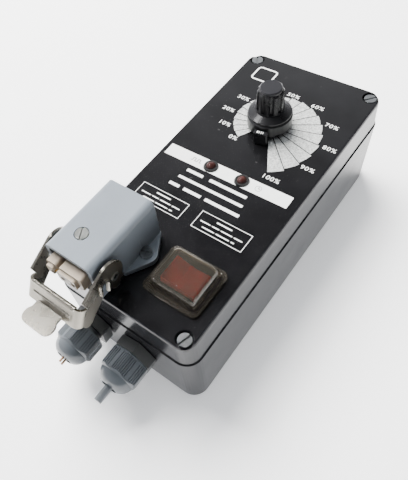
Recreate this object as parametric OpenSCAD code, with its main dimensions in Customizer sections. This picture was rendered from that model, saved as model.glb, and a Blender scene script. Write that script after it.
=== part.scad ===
// Bench controller for a vibratory feeder: a cast case with a dial, a rocker switch under a clear boot,
// two lamps, an angled power connector with a locking lever, and two cable glands.
// Origin: centre of the case's underside. +X right of the panel, +Y towards the dial, +Z up.

/* [Case] */
// Width of the case at the joint between base and lid
case_w = 80; // [78:1:110]
// Length of the case
case_l = 175; // [170:1:240]
// Height of the closed case
case_h = 57; // [54:1:80]
// Height of the lid, from the joint to its top
lid_h = 16; // [15:0.5:20]
// Radius of the upright corners
corner_r = 8; // [7:0.5:11]
// How far the base narrows from rim to underside, on each side
draft = 1; // [0.2:0.1:1.4]
// Thickness of the base's side walls
wall = 3.5; // [3.3:0.1:4.2]
// Thickness of the base's floor
floor_t = 3; // [2:0.2:5]
// Thickness of the lid's top and side walls
lid_wall = 3; // [2.4:0.2:4]
// Thickness of the printed front plate
plate_t = 0.5; // [0.4:0.1:1]
// Distance of the lid screws from the case's sides
screw_side = 6; // [5.8:0.1:7]
// Radius of the lid screw's shank
screw_r = 1.95; // [1.5:0.05:2.2]
// Radius of the lid screw's head
screw_head_r = 3.1; // [2.6:0.1:3.4]
// Radius of the wall mounting holes
mount_hole_r = 2.25; // [1.6:0.05:2.6]
// Distance of the mounting holes from the case's sides
mount_side = 14; // [12:0.5:18]

/* [Cable glands] */
// Height of the gland axes above the underside
gland_z = 22.8; // [20:0.2:26]
// Distance between the two glands
gland_pitch = 27; // [26:0.5:30]
// Width across flats of the gland's collar
gland_af = 19; // [18.5:0.1:20]
// Radius of the hole for the cable
gland_bore_r = 4.2; // [3:0.1:4.6]
// Length of the gland's collar
collar_len = 5.4; // [4:0.2:8]
// Length of the gland's cap
cap_len = 16.7; // [14:0.1:20]
// Radius of the cables
cable_r = 2; // [1.5:0.1:2.6]
// How far the load gland's cap is backed off
load_cap_gap = 2.2; // [0.2:0.1:3]
// How far the supply cable's stub stands out of its cap
supply_stub = 7.6; // [2:0.2:12]

/* [Dial] */
// Distance of the dial's centre from the back end of the case
dial_back = 49.1; // [42:0.1:60]
// Radius of the fixed collar around the dial
collar_r = 11.3; // [10.8:0.1:14]
// Height of the fixed collar
collar_h = 9.4; // [7.8:0.1:11]
// Radius of the fluted grip
grip_r = 6.6; // [6.2:0.1:8]
// Height of the top of the grip above the panel
grip_top = 25.4; // [20:0.2:32]
// Number of flutes around the grip
flutes = 10; // [8:1:14]
// Radius of the potentiometer's shaft
shaft_r = 3; // [2.5:0.1:3.2]
// Radius of the potentiometer's body
pot_r = 11; // [9:0.5:12]

/* [Switch] */
// Gap between the connector's flange and the boot
switch_gap = 1.4; // [0.8:0.1:3]
// Distance of the switch's centre from the gland end of the case
switch_front = 27.5; // [24:0.1:40]
// Size of the boot's flange across the case
boot_w = 29.4; // [27:0.1:33]
// Size of the boot's flange along the case
boot_l = 25.6; // [23:0.1:29]
// Height of the boot above the panel
boot_h = 8.2; // [7.8:0.1:11]
// Tilt of the rocker either side of level
rocker_tilt = 8; // [4:1:9]
// Radius of the rocker's axle pins
rocker_pin_r = 1.5; // [1.2:0.1:1.8]

/* [Power connector] */
// Distance of the connector's centre from the left side of the case
conn_side = 22.3; // [21.5:0.1:26]
// Distance of the connector's flange centre from the gland end of the case
conn_front = 27.9; // [26:0.1:40]
// Width of the connector's housing
hood_w = 26; // [24:0.1:28]
// Height of the housing's top above the panel
hood_top = 25.5; // [24:0.5:31]
// Reach of the housing's mouth in front of the flange centre
hood_reach = 28.2; // [26:0.2:34]
// Wall thickness of the housing
hood_wall = 2; // [1.6:0.1:2.4]
// Thickness of the flange
flange_t = 2.8; // [2:0.1:4]
// Thickness of the flat seal under the flange
flat_seal_t = 0.8; // [0.5:0.1:1.2]
// Distance of the flange screws beyond the housing's sides
lug_side = 2; // [2:0.1:4]
// Reach of the insert's tongue beyond the mouth
tongue_out = 5.4; // [3:0.2:6]
// Thickness of the locking lever's sheet steel
lever_t = 1.2; // [1:0.1:1.5]
// Radius of the studs that the lever turns on
stud_r = 2.2; // [1.8:0.1:2.6]
// Running clearance between the lever and its studs
lever_fit = 0.06; // [0.02:0.01:0.1]

/* [Lamps] */
// Radius of the lamps' lenses
led_r = 2.5; // [1.5:0.1:3]
// Distance between the two lamps
led_pitch = 18; // [14:0.5:24]

/* [Circuit] */
// Width of the circuit board
board_w = 56; // [44:1:60]
// Length of the circuit board
board_l = 112; // [104:1:130]
// Thickness of the circuit board
board_t = 1.6; // [1:0.1:2.4]
// Height of the pillars under the board
pillar_h = 6; // [4:0.5:8]

/* [Hidden] */

$fn = 48;
eps = 0.01;
// Radial clearance of screws in their holes, of parts dropped into recesses, and of turning parts
screw_gap = 0.05;
slip_gap = 0.1;
turn_gap = 0.06;
free_gap = 0.4;
nut_gap = 0.3;

base_h = case_h - lid_h;
lid_inset = 0.5;
lid_edge = 1.3;
screw_x = case_w/2 - screw_side;
screw_y = case_l/2 - screw_side;
post_r = screw_side - 0.6;
mount_x = case_w/2 - mount_side;
mount_boss_r = mount_hole_r + 2;
mount_boss_h = 3;
groove_out = 1;
groove_w = wall - 1.7;
groove_d = 1.2;
plate_inset = 1.8;
counterbore_r = screw_head_r + 0.9;
head_seat_z = case_h - 2.8;
screw_head_h = 2.4;
screw_tip_z = base_h - 11;
front_y = -case_l/2;
panel_z = case_h;
lid_under_z = case_h - lid_wall;

gland_thread_r = gland_af*0.4;
nut_af = gland_af - 1;
load_x = nut_gap + nut_af/2 + post_r - screw_x;
supply_x = load_x + gland_pitch;

dial_y = case_l/2 - dial_back;
switch_y = front_y + switch_front;
conn_y = front_y + conn_front;
lug_r = 5;
conn_x = conn_side - case_w/2;
flange_pitch = hood_w + 2*lug_side;
switch_x = conn_x + flange_pitch/2 + lug_r + switch_gap + boot_w/2;
rocker_w = boot_w - 11.9;
rocker_l = boot_l - 13.4;
led_x = -0.7;
led_y = -0.2;

// Rounded rectangle, exact at any size
module rounded(w, l, r) {
    square([w - 2*r, l], center = true);
    square([w, l - 2*r], center = true);
    for (x = [-1, 1], y = [-1, 1])
        translate([x*(w/2 - r), y*(l/2 - r)])
            circle(r);
}

// Places its children at the four corners (x, y) of a rectangle round the origin
module at_corners(x, y) {
    for (i = [-1, 1], j = [-1, 1])
        translate([i*x, j*y])
            children();
}

// Outline of the space inside the case, a given distance in from the outer face, with the corners kept
// clear for the screw posts
module inside_outline(inset) {
    land_r = post_r - (wall - inset);
    difference() {
        rounded(case_w - 2*inset, case_l - 2*inset, max(corner_r - inset, 1));
        for (i = [-1, 1], j = [-1, 1])
            translate([i*screw_x, j*screw_y])
                scale([i, j]) {
                    circle(land_r);
                    translate([-land_r, 0])
                        square([land_r + screw_side, screw_side]);
                    translate([0, -land_r])
                        square([screw_side, land_r + screw_side]);
                }
    }
}

// Slotted cheese head at z = 0 upwards, with its shank below
module slotted_screw(head_r, head_h, shank_r, shank_l, slot_angle) {
    translate([0, 0, -shank_l])
        cylinder(r = shank_r, h = shank_l + eps);
    difference() {
        cylinder(r = head_r, h = head_h);
        rotate([0, 0, slot_angle])
            translate([-head_r - 1, -head_r*0.14, head_h*0.55])
                cube([2*head_r + 2, head_r*0.28, head_h]);
    }
}

// Straight round rod between two points
module rod(a, b, r) {
    d = b - a;
    len = norm(d);
    translate(a)
        rotate([0, acos(d[2]/len), atan2(d[1], d[0])])
            cylinder(r = r, h = len, $fn = 16);
}

// Stands its children, drawn in XY and rising along Z, so that they run along -Y from the point given
module towards_front(x, y, z) {
    translate([x, y, z])
        rotate([90, 0, 0])
            children();
}

// Case -----------------------------------------------------------------------------------------------

module base_shell() {
    color("#2c2c2e")
    difference() {
        union() {
            difference() {
                hull() {
                    linear_extrude(eps)
                        rounded(case_w - 2*draft, case_l - 2*draft, corner_r, $fn = 32);
                    translate([0, 0, base_h - eps])
                        linear_extrude(eps)
                            rounded(case_w, case_l, corner_r, $fn = 32);
                }
                translate([0, 0, floor_t])
                    linear_extrude(case_h)
                        inside_outline(wall);
            }
            at_corners(mount_x, screw_y)
                translate([0, 0, eps])
                    cylinder(r = mount_boss_r, h = floor_t + mount_boss_h);
            for (x = [supply_x, load_x])
                towards_front(x, front_y + wall, gland_z)
                    cylinder(r = gland_af/2 - 0.3, h = wall);
        }
        translate([0, 0, base_h - groove_d])
            linear_extrude(groove_d + 1)
                difference() {
                    inside_outline(groove_out);
                    inside_outline(groove_out + groove_w);
                }
        for (x = [supply_x, load_x])
            towards_front(x, front_y + wall + 1, gland_z)
                cylinder(r = gland_thread_r + slip_gap, h = wall + 2);
        at_corners(screw_x, screw_y)
            translate([0, 0, screw_tip_z - 2])
                cylinder(r = screw_r + screw_gap, h = case_h);
        at_corners(mount_x, screw_y)
            translate([0, 0, -1])
                cylinder(r = mount_hole_r, h = floor_t + mount_boss_h + 2);
    }
}

module lid() {
    w = case_w - 2*lid_inset;
    l = case_l - 2*lid_inset;
    color("#303032")
    difference() {
        union() {
            difference() {
                hull() {
                    translate([0, 0, base_h])
                        linear_extrude(eps)
                            rounded(w, l, corner_r - lid_inset, $fn = 32);
                    translate([0, 0, case_h - lid_edge])
                        linear_extrude(eps)
                            rounded(w - 0.8, l - 0.8, corner_r - lid_inset, $fn = 32);
                    translate([0, 0, case_h - lid_edge*0.3])
                        linear_extrude(eps)
                            rounded(w - 0.8 - lid_edge*0.6, l - 0.8 - lid_edge*0.6, corner_r - 1, $fn = 32);
                    translate([0, 0, case_h - eps])
                        linear_extrude(eps)
                            rounded(w - 0.8 - 2*lid_edge, l - 0.8 - 2*lid_edge, corner_r - 1, $fn = 32);
                }
                translate([0, 0, base_h - 1])
                    linear_extrude(lid_h - lid_wall + 1)
                        inside_outline(wall);
            }
        }
        // Recess for the front plate
        translate([0, 0, case_h - plate_t])
            linear_extrude(1)
                rounded(case_w - 2*plate_inset, case_l - 2*plate_inset, corner_r - plate_inset);
        at_corners(screw_x, screw_y) {
            translate([0, 0, base_h - 1])
                cylinder(r = screw_r + 0.25, h = case_h);
            translate([0, 0, head_seat_z])
                cylinder(r = counterbore_r, h = case_h);
        }
        translate([0, 0, base_h])
            linear_extrude(case_h)
                panel_openings(0);
    }
}

// Outline of everything that passes through the lid's top, grown by a clearance
module panel_openings(extra) {
    translate([0, dial_y])
        circle(bush_r + slip_gap + extra);
    for (s = [-1, 1])
        translate([led_x + s*led_pitch/2, led_y])
            circle(led_r + 0.7 + slip_gap + extra);
    translate([switch_x, switch_y])
        square([switch_body_w + 2*slip_gap + 2*extra, switch_body_l + 2*slip_gap + 2*extra], center = true);
    translate([conn_x, conn_y])
        square([cable_way + 2*extra, cable_way + 2*extra], center = true);
    for (s = [-1, 1])
        translate([conn_x + s*flange_pitch/2, conn_y])
            circle(flange_screw_r + screw_gap + extra);
}

module lid_gasket() {
    color("#1b1b1b")
    translate([0, 0, base_h - groove_d])
        linear_extrude(groove_d)
            difference() {
                inside_outline(groove_out + slip_gap);
                inside_outline(groove_out + groove_w - slip_gap);
            }
}

module front_plate() {
    color("#26262a")
    difference() {
        translate([0, 0, case_h - plate_t])
            linear_extrude(plate_t)
                difference() {
                    rounded(case_w - 2*plate_inset - 2*slip_gap, case_l - 2*plate_inset - 2*slip_gap,
                        corner_r - plate_inset);
                    panel_openings(0.2);
                }
        at_corners(screw_x, screw_y)
            translate([0, 0, case_h - 2*plate_t])
                cylinder(r = counterbore_r + 0.15, h = 3*plate_t);
    }
}

module lid_screws() {
    slots = [[-1, -1, 20], [1, -1, 75], [-1, 1, 120], [1, 1, 50]];
    color("#b9b9ae")
    for (s = slots)
        translate([s[0]*screw_x, s[1]*screw_y, head_seat_z])
            slotted_screw(screw_head_r, screw_head_h, screw_r, head_seat_z - screw_tip_z, s[2]);
}

// Power connector ------------------------------------------------------------------------------------

flange_d = 26;
flange_z = panel_z + flat_seal_t;
flange_screw_r = 1.9;
flange_head_r = 2.8;
flange_head_h = 1.9;
cable_way = 15;
hood_back = 12.7;
hood_under = 3;
hood_edge_r = 3.4;
hood_z = panel_z + hood_top;
mouth_y = conn_y - hood_reach;
cavity_w = hood_w - 2*hood_wall;
cavity_z = panel_z + hood_under + 1.5;
cavity_top = hood_z - hood_wall;
pivot_y = mouth_y + 8.6;
pivot_z = panel_z + 12.5;
insert_w = cavity_w - 0.4;
insert_front = pivot_y + 0.2;
insert_back = conn_y - 6.5;
tongue_w = insert_w - 1.6;
tongue_top = cavity_top - 3;
tongue_h = 9;
insert_screw_x = conn_x - 2.2;
insert_screw_y = pivot_y + 3.4;

// Diamond flange outline: a square with a round lug on each side, joined by tangents
module flange_outline(grow) {
    r = lug_r + grow;
    hx = hood_w/2 + grow;
    hy = flange_d/2 + grow;
    cx = flange_pitch/2;
    reach = norm([hx - cx, hy]);
    a = atan2(hy, hx - cx) - acos(r/reach);
    tx = cx + r*cos(a);
    ty = r*sin(a);
    polygon([[hx, hy], [-hx, hy], [-tx, ty], [-tx, -ty], [-hx, -hy], [hx, -hy], [tx, -ty], [tx, ty]]);
    for (s = [-1, 1])
        translate([s*cx, 0])
            circle(r);
}

// Section of the housing across the case: flat underneath, rounded along its two upper edges
module hood_section(w, h, r) {
    translate([-w/2, 0])
        square([w, h - r]);
    translate([-w/2 + r, 0])
        square([w - 2*r, h]);
    for (s = [-1, 1])
        translate([s*(w/2 - r), h - r])
            circle(r);
}

module connector_housing() {
    color("#a8afb6")
    difference() {
        union() {
            translate([conn_x, conn_y, flange_z])
                linear_extrude(flange_t)
                    flange_outline(0);
            towards_front(conn_x, conn_y + hood_back, flange_z)
                linear_extrude(hood_back + flange_d/2)
                    hood_section(hood_w, hood_z - flange_z, hood_edge_r);
            towards_front(conn_x, conn_y, panel_z + hood_under)
                linear_extrude(hood_reach)
                    hood_section(hood_w, hood_top - hood_under, hood_edge_r);
        }
        towards_front(conn_x, conn_y + hood_back - hood_wall, cavity_z)
            linear_extrude(hood_back + hood_reach)
                hood_section(cavity_w, cavity_top - cavity_z, hood_edge_r - hood_wall);
        translate([conn_x, conn_y, panel_z])
            linear_extrude(hood_top/2)
                square([cable_way, cable_way], center = true);
        for (s = [-1, 1])
            translate([conn_x + s*flange_pitch/2, conn_y, panel_z]) {
                cylinder(r = flange_screw_r + 0.2, h = hood_top/2);
                // Pocket that lets the screw's head sit close to the side wall
                translate([0, 0, flat_seal_t + flange_t])
                    cylinder(r = flange_head_r + slip_gap, h = flange_head_h + 0.4);
            }
        translate([insert_screw_x, insert_screw_y, cavity_top - 1])
            cylinder(r = 1.7, h = hood_wall + 2);
        translate([insert_screw_x, insert_screw_y, hood_z - 1])
            cylinder(r = 3.4, h = 2);
        translate([conn_x - hood_w, pivot_y, pivot_z])
            rotate([0, 90, 0])
                cylinder(r = stud_r - 0.7 + screw_gap, h = 2*hood_w);
    }
}

module connector_seal() {
    color("#202020")
    translate([conn_x, conn_y, panel_z])
        linear_extrude(flat_seal_t)
            difference() {
                flange_outline(-0.4);
                square([cable_way, cable_way], center = true);
                for (s = [-1, 1])
                    translate([s*flange_pitch/2, 0])
                        circle(flange_screw_r + 0.3);
            }
}

module connector_screws() {
    color("#8f9690")
    for (s = [-1, 1])
        translate([conn_x + s*flange_pitch/2, conn_y, flange_z + flange_t])
            slotted_screw(flange_head_r, flange_head_h, flange_screw_r, flange_z + flange_t - lid_under_z + 1, 60 - 40*s);
}

// Section of the insert's tongue: a narrow lobe, a keyway and a wide lobe, with bites in the lower edge
module tongue_section() {
    edge_r = 1.3;
    key = [-3.4, 1.5];
    difference() {
        union() {
            translate([-tongue_w/2, 0])
                square([tongue_w, tongue_h - 3]);
            translate([(-tongue_w/2 + key[0] - key[1]/2)/2, tongue_h/2])
                rounded(key[0] - key[1]/2 + tongue_w/2, tongue_h, edge_r);
            translate([(tongue_w/2 + key[0] + key[1]/2)/2, tongue_h/2])
                rounded(tongue_w/2 - key[0] - key[1]/2, tongue_h, edge_r);
        }
        translate([key[0], tongue_h - 3.4])
            circle(1.3);
        for (x = [-tongue_w/2, 1.6])
            translate([x, -0.6])
                circle(2.4);
        translate([tongue_w/2, -0.4])
            circle(2);
    }
}

module connector_insert() {
    insert_z = cavity_z + 0.2;
    block = insert_back - insert_front;
    color("#b7a890")
    difference() {
        union() {
            towards_front(conn_x, insert_back, insert_z)
                linear_extrude(block)
                    hood_section(insert_w, cavity_top - 0.2 - insert_z, 1.3);
            towards_front(conn_x, insert_front + 1, tongue_top - tongue_h)
                linear_extrude(insert_front - mouth_y + tongue_out + 1 - 1.6)
                    tongue_section();
            towards_front(conn_x - 0.4, insert_front + 1, tongue_top - tongue_h + 1.2)
                linear_extrude(insert_front - mouth_y + tongue_out + 1)
                    translate([2.6, 3.2])
                        rounded(10.4, 6.4, 1.3);
            towards_front(conn_x - 0.4, insert_front + 1, tongue_top - tongue_h + 2.6)
                linear_extrude(insert_front - mouth_y + tongue_out + 1)
                    translate([-6.6, 2.6])
                        rounded(4.2, 5.2, 1.3);
        }
        // Contact chambers
        for (i = [-1, 0, 1])
            towards_front(conn_x + i*5.6, insert_back + 1, tongue_top - 4.6)
                cylinder(r = 1.3, h = insert_back - mouth_y + tongue_out + 2, $fn = 24);
        translate([insert_screw_x, insert_screw_y, cavity_top - 9])
            cylinder(r = 1.5 + screw_gap, h = 10);
    }
}

module insert_screw() {
    color("#c6c6bc")
    translate([insert_screw_x, insert_screw_y, hood_z - 1])
        slotted_screw(3, 1.2, 1.5, 7.5, -62);
}

module connector_contacts() {
    color("#c9a96a")
    for (i = [-1, 0, 1])
        towards_front(conn_x + i*5.6, insert_back + 3, tongue_top - 4.6)
            difference() {
                cylinder(r = 1.3 - screw_gap, h = insert_back + 3 - mouth_y + tongue_out - 0.8, $fn = 24);
                translate([0, 0, insert_back - mouth_y + tongue_out - 6])
                    cylinder(r = 0.8, h = 12, $fn = 24);
            }
}

// Leads from the contacts, down through the lid's opening and on to the terminal block
module connector_leads() {
    colors = ["#3b5fa8", "#5a3a22", "#6f9a3a"];
    lead_r = 1;
    for (i = [-1, 0, 1]) {
        knee = [conn_x + i*4.6, conn_y + 1, lid_under_z - 4];
        well = [block_x + (i + 1.5 - block_ways/2)*block_pitch, block_y, block_top - well_d + 0.06];
        over_well = well + [0, 0, well_d + 2];
        color(colors[i + 1]) {
            rod([conn_x + i*5.6, insert_back + 4.2, tongue_top - 4.6], knee, lead_r);
            translate(knee)
                sphere(r = lead_r + 0.1, $fn = 24);
            rod(knee, over_well, lead_r);
            translate(over_well)
                sphere(r = lead_r + 0.1, $fn = 24);
            rod(over_well, well, lead_r);
        }
    }
}

// Studs riveted into both side walls of the housing, which the lever turns on
module lever_studs() {
    color("#9aa0a6")
    for (s = [-1, 1])
        translate([conn_x + s*(hood_w/2 - hood_wall), pivot_y, pivot_z])
            rotate([0, s*90, 0]) {
                cylinder(r = stud_r - 0.7, h = hood_wall + eps);
                translate([0, 0, hood_wall])
                    cylinder(r = stud_r + 0.9, h = lever_gap - 0.35);
                translate([0, 0, hood_wall])
                    cylinder(r = stud_r, h = lever_gap + lever_t + 0.3);
            }
}

lever_gap = 1.5;
lever_in = hood_w/2 + lever_gap;
lever_out = lever_in + lever_t;
bar_top = [-21.3, 1.0];
bar_low = [-26.0, -6.9];
bend_r = 3.4;
tab_reach = 10.2;
tab_w = 17;
tab_shift = -0.8;
slot_at = [-6.1, 1.5];
slot_r = 2;
slot_lean = -12;

// Cam slot that catches the plug's peg, grown by a given amount
module cam_slot(grow) {
    translate(slot_at) {
        circle(slot_r + grow);
        rotate([0, 0, slot_lean])
            translate([0.15 - slot_r - grow, -12])
                square([2*(slot_r + grow) - 0.3, 12]);
    }
}

// One arm of the lever, seen from the side: Y runs to the right and Z up, round the pivot
module lever_arm() {
    difference() {
        union() {
            translate([-2.2, 2.9])
                circle(7.6);
            polygon([[-5.4, 9.8], [-18.4, 3.5], [-17.5, -1.1], [-22.2, -8.8], [-19.2, -12.2],
                [-9.2, -4.6], [0, -4.6]]);
            translate([-19.6, -9.4])
                circle(2.8);
            translate([0.4, -3.6])
                circle(4);
        }
        circle(stud_r + lever_fit);
        cam_slot(0);
    }
}

// Rolled lip that stands out round the cam slot
module slot_lip() {
    intersection() {
        difference() {
            cam_slot(0.9);
            cam_slot(0);
        }
        translate([slot_at[0], slot_at[1] - 0.9])
            circle(4.6);
    }
}

// Bent strip seen from above: the cross bar with a rounded bend into each arm
module bar_section(depth) {
    intersection() {
        difference() {
            translate([0, 2*depth])
                rounded(2*lever_out, 4*depth, bend_r);
            translate([0, 2*depth + lever_t])
                rounded(2*lever_in, 4*depth, bend_r - lever_t);
        }
        translate([-lever_out, 0])
            square([2*lever_out, depth]);
    }
}

module locking_lever() {
    lean = atan2(bar_low[1] - bar_top[1], bar_low[0] - bar_top[0]) + 90;
    bar_len = norm(bar_low - bar_top);
    hem_w = 2*(lever_out - bend_r);
    color("#98958a")
    translate([conn_x, pivot_y, pivot_z]) {
        for (s = [-1, 1]) {
            translate([s*(lever_in + lever_t/2), 0, 0])
                rotate([90, 0, 90])
                    linear_extrude(lever_t, center = true)
                        lever_arm();
            translate([s*(lever_out + 0.4 - eps), 0, 0])
                rotate([90, 0, 90])
                    linear_extrude(0.8, center = true)
                        slot_lip();
        }
        translate([0, bar_low[0], bar_low[1]])
            rotate([lean, 0, 0]) {
                linear_extrude(bar_len)
                    bar_section(7);
                // Rolled hem along the top, and a shallow bead across the middle
                translate([0, 0.8, bar_len - 0.3])
                    rotate([0, 90, 0])
                        cylinder(r = 1.1, h = hem_w, center = true);
                translate([0, 0.7, bar_len*0.5])
                    rotate([0, 90, 0])
                        cylinder(r = 1.1, h = hem_w - 3, center = true);
            }
        // Thumb tab
        translate([tab_shift, bar_low[0] + 0.8, bar_low[1] - 0.2])
            linear_extrude(lever_t)
                union() {
                    translate([-tab_w/2 + 1.2, -tab_reach/2 - 0.6])
                        square([tab_w - 2.4, tab_reach/2 + 0.8]);
                    translate([0, -tab_reach/2 - 1.6])
                        rounded(tab_w, tab_reach - 2, 3.8);
                }
    }
}

// Cable glands ---------------------------------------------------------------------------------------

nut_t = 3.4;
neck_r = 7;
neck_len = 7.6;
seal_r = 6;
dome_len = 5.8;
inner_end = front_y + wall + nut_t + 1;
collar_front = front_y - 0.1 - collar_len;

function hex_r(af) = af/2/cos(30);

module gland_body(x, turn) {
    color("#737a7f")
    difference() {
        union() {
            towards_front(x, inner_end, gland_z)
                cylinder(r = gland_thread_r, h = inner_end - front_y + 0.5);
            towards_front(x, front_y - 0.1, gland_z)
                rotate([0, 0, turn])
                    cylinder(r = hex_r(gland_af), h = collar_len, $fn = 6);
            towards_front(x, collar_front + 0.5, gland_z)
                cylinder(r = neck_r, h = neck_len + 0.5);
        }
        towards_front(x, inner_end + 1, gland_z)
            cylinder(r = gland_bore_r, h = inner_end - front_y + collar_len + 20);
        towards_front(x, collar_front + 1, gland_z)
            cylinder(r = seal_r + slip_gap, h = neck_len + 3);
        // Slits that let the clamping fingers close
        for (i = [0:5])
            towards_front(x, collar_front - 2, gland_z)
                rotate([0, 0, turn + i*60])
                    translate([seal_r - 1, -0.5, 0])
                        cube([3, 1, neck_len]);
    }
}

module gland_cap(x, gap, turn) {
    r = hex_r(gland_af - 0.3);
    apothem = (gland_af - 0.3)/2;
    shoulder = cap_len - dome_len;
    dome_r = apothem - 0.3;
    ribs = 4;
    rib_pitch = 1.15;
    groove_w = 0.42;
    color("#7f868c")
    towards_front(x, collar_front - gap, gland_z)
        difference() {
            union() {
                intersection() {
                    rotate([0, 0, turn])
                        cylinder(r = r, h = shoulder, $fn = 6);
                    rotate_extrude($fn = 72)
                        polygon([[0, 0], [r - 0.7, 0], [r - 0.1, 0.6], [r - 0.1, shoulder - 1.6],
                            [dome_r + 0.1, shoulder], [0, shoulder]]);
                }
                translate([0, 0, shoulder - 1])
                    rotate_extrude($fn = 72)
                        intersection() {
                            dome_outline(dome_r, dome_len + 1);
                            square([r, cap_len]);
                        }
            }
            translate([0, 0, -1])
                cylinder(r = neck_r + 0.15, h = shoulder - 1);
            translate([0, 0, shoulder - 2 - eps])
                cylinder(r1 = neck_r + 0.15, r2 = gland_bore_r + 0.8, h = 3.4);
            cylinder(r = gland_bore_r, h = cap_len + 1);
            // Grooves beside each corner, which leave the finger ribs
            for (i = [0:5], s = [-1, 1], k = [0:ribs - 1])
                rotate([0, 0, turn + 30 + i*60])
                    translate([apothem - 0.65, s*(r/2 - 0.62 - k*rib_pitch) - groove_w/2, 0.9])
                        cube([1, groove_w, shoulder - 2]);
        }
}

// Half outline of a rounded end: a flat top and an arc down to the shoulder
module dome_outline(r, h) {
    square([r - h, h]);
    translate([r - h, 0])
        circle(h);
}

module gland_seal(x, gap) {
    color("#1d1d1f")
    towards_front(x, collar_front - 0.6, gland_z)
        difference() {
            union() {
                cylinder(r = seal_r, h = neck_len - 1);
                cylinder(r = gland_bore_r + 0.6, h = neck_len + gap + 1);
            }
            translate([0, 0, -1])
                cylinder(r = cable_r + screw_gap, h = cap_len + 2);
        }
}

module gland_nut(x) {
    color("#6b7176")
    towards_front(x, front_y + wall + nut_t, gland_z)
        difference() {
            rotate([0, 0, 30])
                cylinder(r = hex_r(nut_af), h = nut_t, $fn = 6);
            translate([0, 0, -1])
                cylinder(r = gland_thread_r + screw_gap, h = nut_t + 2);
        }
}

supply_turn = 15.5;
load_turn = 24.5;
tight_gap = 0.2;
cable_in_y = front_y + 16;

module supply_gland_body() { gland_body(supply_x, supply_turn); }
module supply_gland_cap() { gland_cap(supply_x, tight_gap, supply_turn); }
module supply_gland_seal() { gland_seal(supply_x, tight_gap); }
module supply_gland_nut() { gland_nut(supply_x); }
module load_gland_body() { gland_body(load_x, load_turn); }
module load_gland_cap() { gland_cap(load_x, load_cap_gap, load_turn); }
module load_gland_seal() { gland_seal(load_x, load_cap_gap); }
module load_gland_nut() { gland_nut(load_x); }

module supply_cable() {
    end_y = collar_front - tight_gap - cap_len - supply_stub;
    color("#7d8286")
    towards_front(supply_x, cable_in_y, gland_z)
        cylinder(r = cable_r, h = cable_in_y - end_y);
}

module load_cable() {
    end_y = collar_front - load_cap_gap - cap_len + 0.4;
    color("#8d9296")
    towards_front(load_x, cable_in_y, gland_z)
        cylinder(r = cable_r, h = cable_in_y - end_y);
}

core_r = 0.45;
core_pitch = 1.25;

// Cores fanning out from the cable's end to the terminal block
module cores(x, first) {
    colors = ["#3b5fa8", "#5a3a22", "#6f9a3a"];
    for (i = [-1, 0, 1])
        color(colors[i + 1])
            rod([x, cable_in_y + 0.5, gland_z + i*core_pitch],
                [first + (i + 1)*block_pitch, block_y - block_d/2 - 0.5, block_z + block_h*0.45], core_r);
}

module supply_cores() { cores(supply_x, block_x + 0.5*block_pitch); }

module load_cores() {
    end_y = collar_front - load_cap_gap - cap_len + 0.4;
    cores(load_x, block_x - 2.5*block_pitch);
    // Stripped ends standing out of the cut cable
    for (i = [0:2])
        color("#b8805a")
            towards_front(load_x + cos(90 + i*120), end_y, gland_z + sin(90 + i*120))
                cylinder(r = 0.55, h = 2.2 + 0.5*i, $fn = 16);
}

// Switch ---------------------------------------------------------------------------------------------

switch_body_w = rocker_w + 4.4;
switch_body_l = rocker_l + 5;
bezel_t = 1.6;
boot_wall = 0.8;
well_w = rocker_w + 2*free_gap + 0.8;
well_l = rocker_l + 2*free_gap;
rocker_z = panel_z - 0.6;
body_bottom = panel_z - 20;

module switch_housing() {
    color("#1f1f21")
    difference() {
        union() {
            translate([switch_x, switch_y, panel_z])
                linear_extrude(bezel_t)
                    rounded(boot_w - 4.4, boot_l - 4.4, 1.5);
            translate([switch_x, switch_y, body_bottom])
                linear_extrude(panel_z - body_bottom + eps)
                    square([switch_body_w, switch_body_l], center = true);
        }
        translate([switch_x, switch_y, panel_z - 6])
            linear_extrude(10)
                square([well_w, well_l], center = true);
        translate([switch_x, switch_y, rocker_z])
            rotate([90, 0, 0])
                cylinder(r = rocker_pin_r + turn_gap, h = well_l + 2.4, center = true);
    }
}

// Rocker with a shallow V top; it stands tilted to its off side
module switch_rocker() {
    color("#a23a30")
    translate([switch_x, switch_y, rocker_z])
        rotate([0, rocker_tilt, 0])
            rotate([90, 0, 0])
                union() {
                    linear_extrude(rocker_l, center = true)
                        polygon([[-rocker_w/2, -0.8], [-rocker_w/2, 5.2], [-rocker_w/2 + 0.5, 5.7],
                            [-1.2, 4.3], [1.2, 4.3], [rocker_w/2 - 0.5, 5.7], [rocker_w/2, 5.2],
                            [rocker_w/2, -0.8], [3, -2.8], [-3, -2.8]]);
                    cylinder(r = rocker_pin_r, h = well_l + 2, center = true);
                }
}

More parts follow.
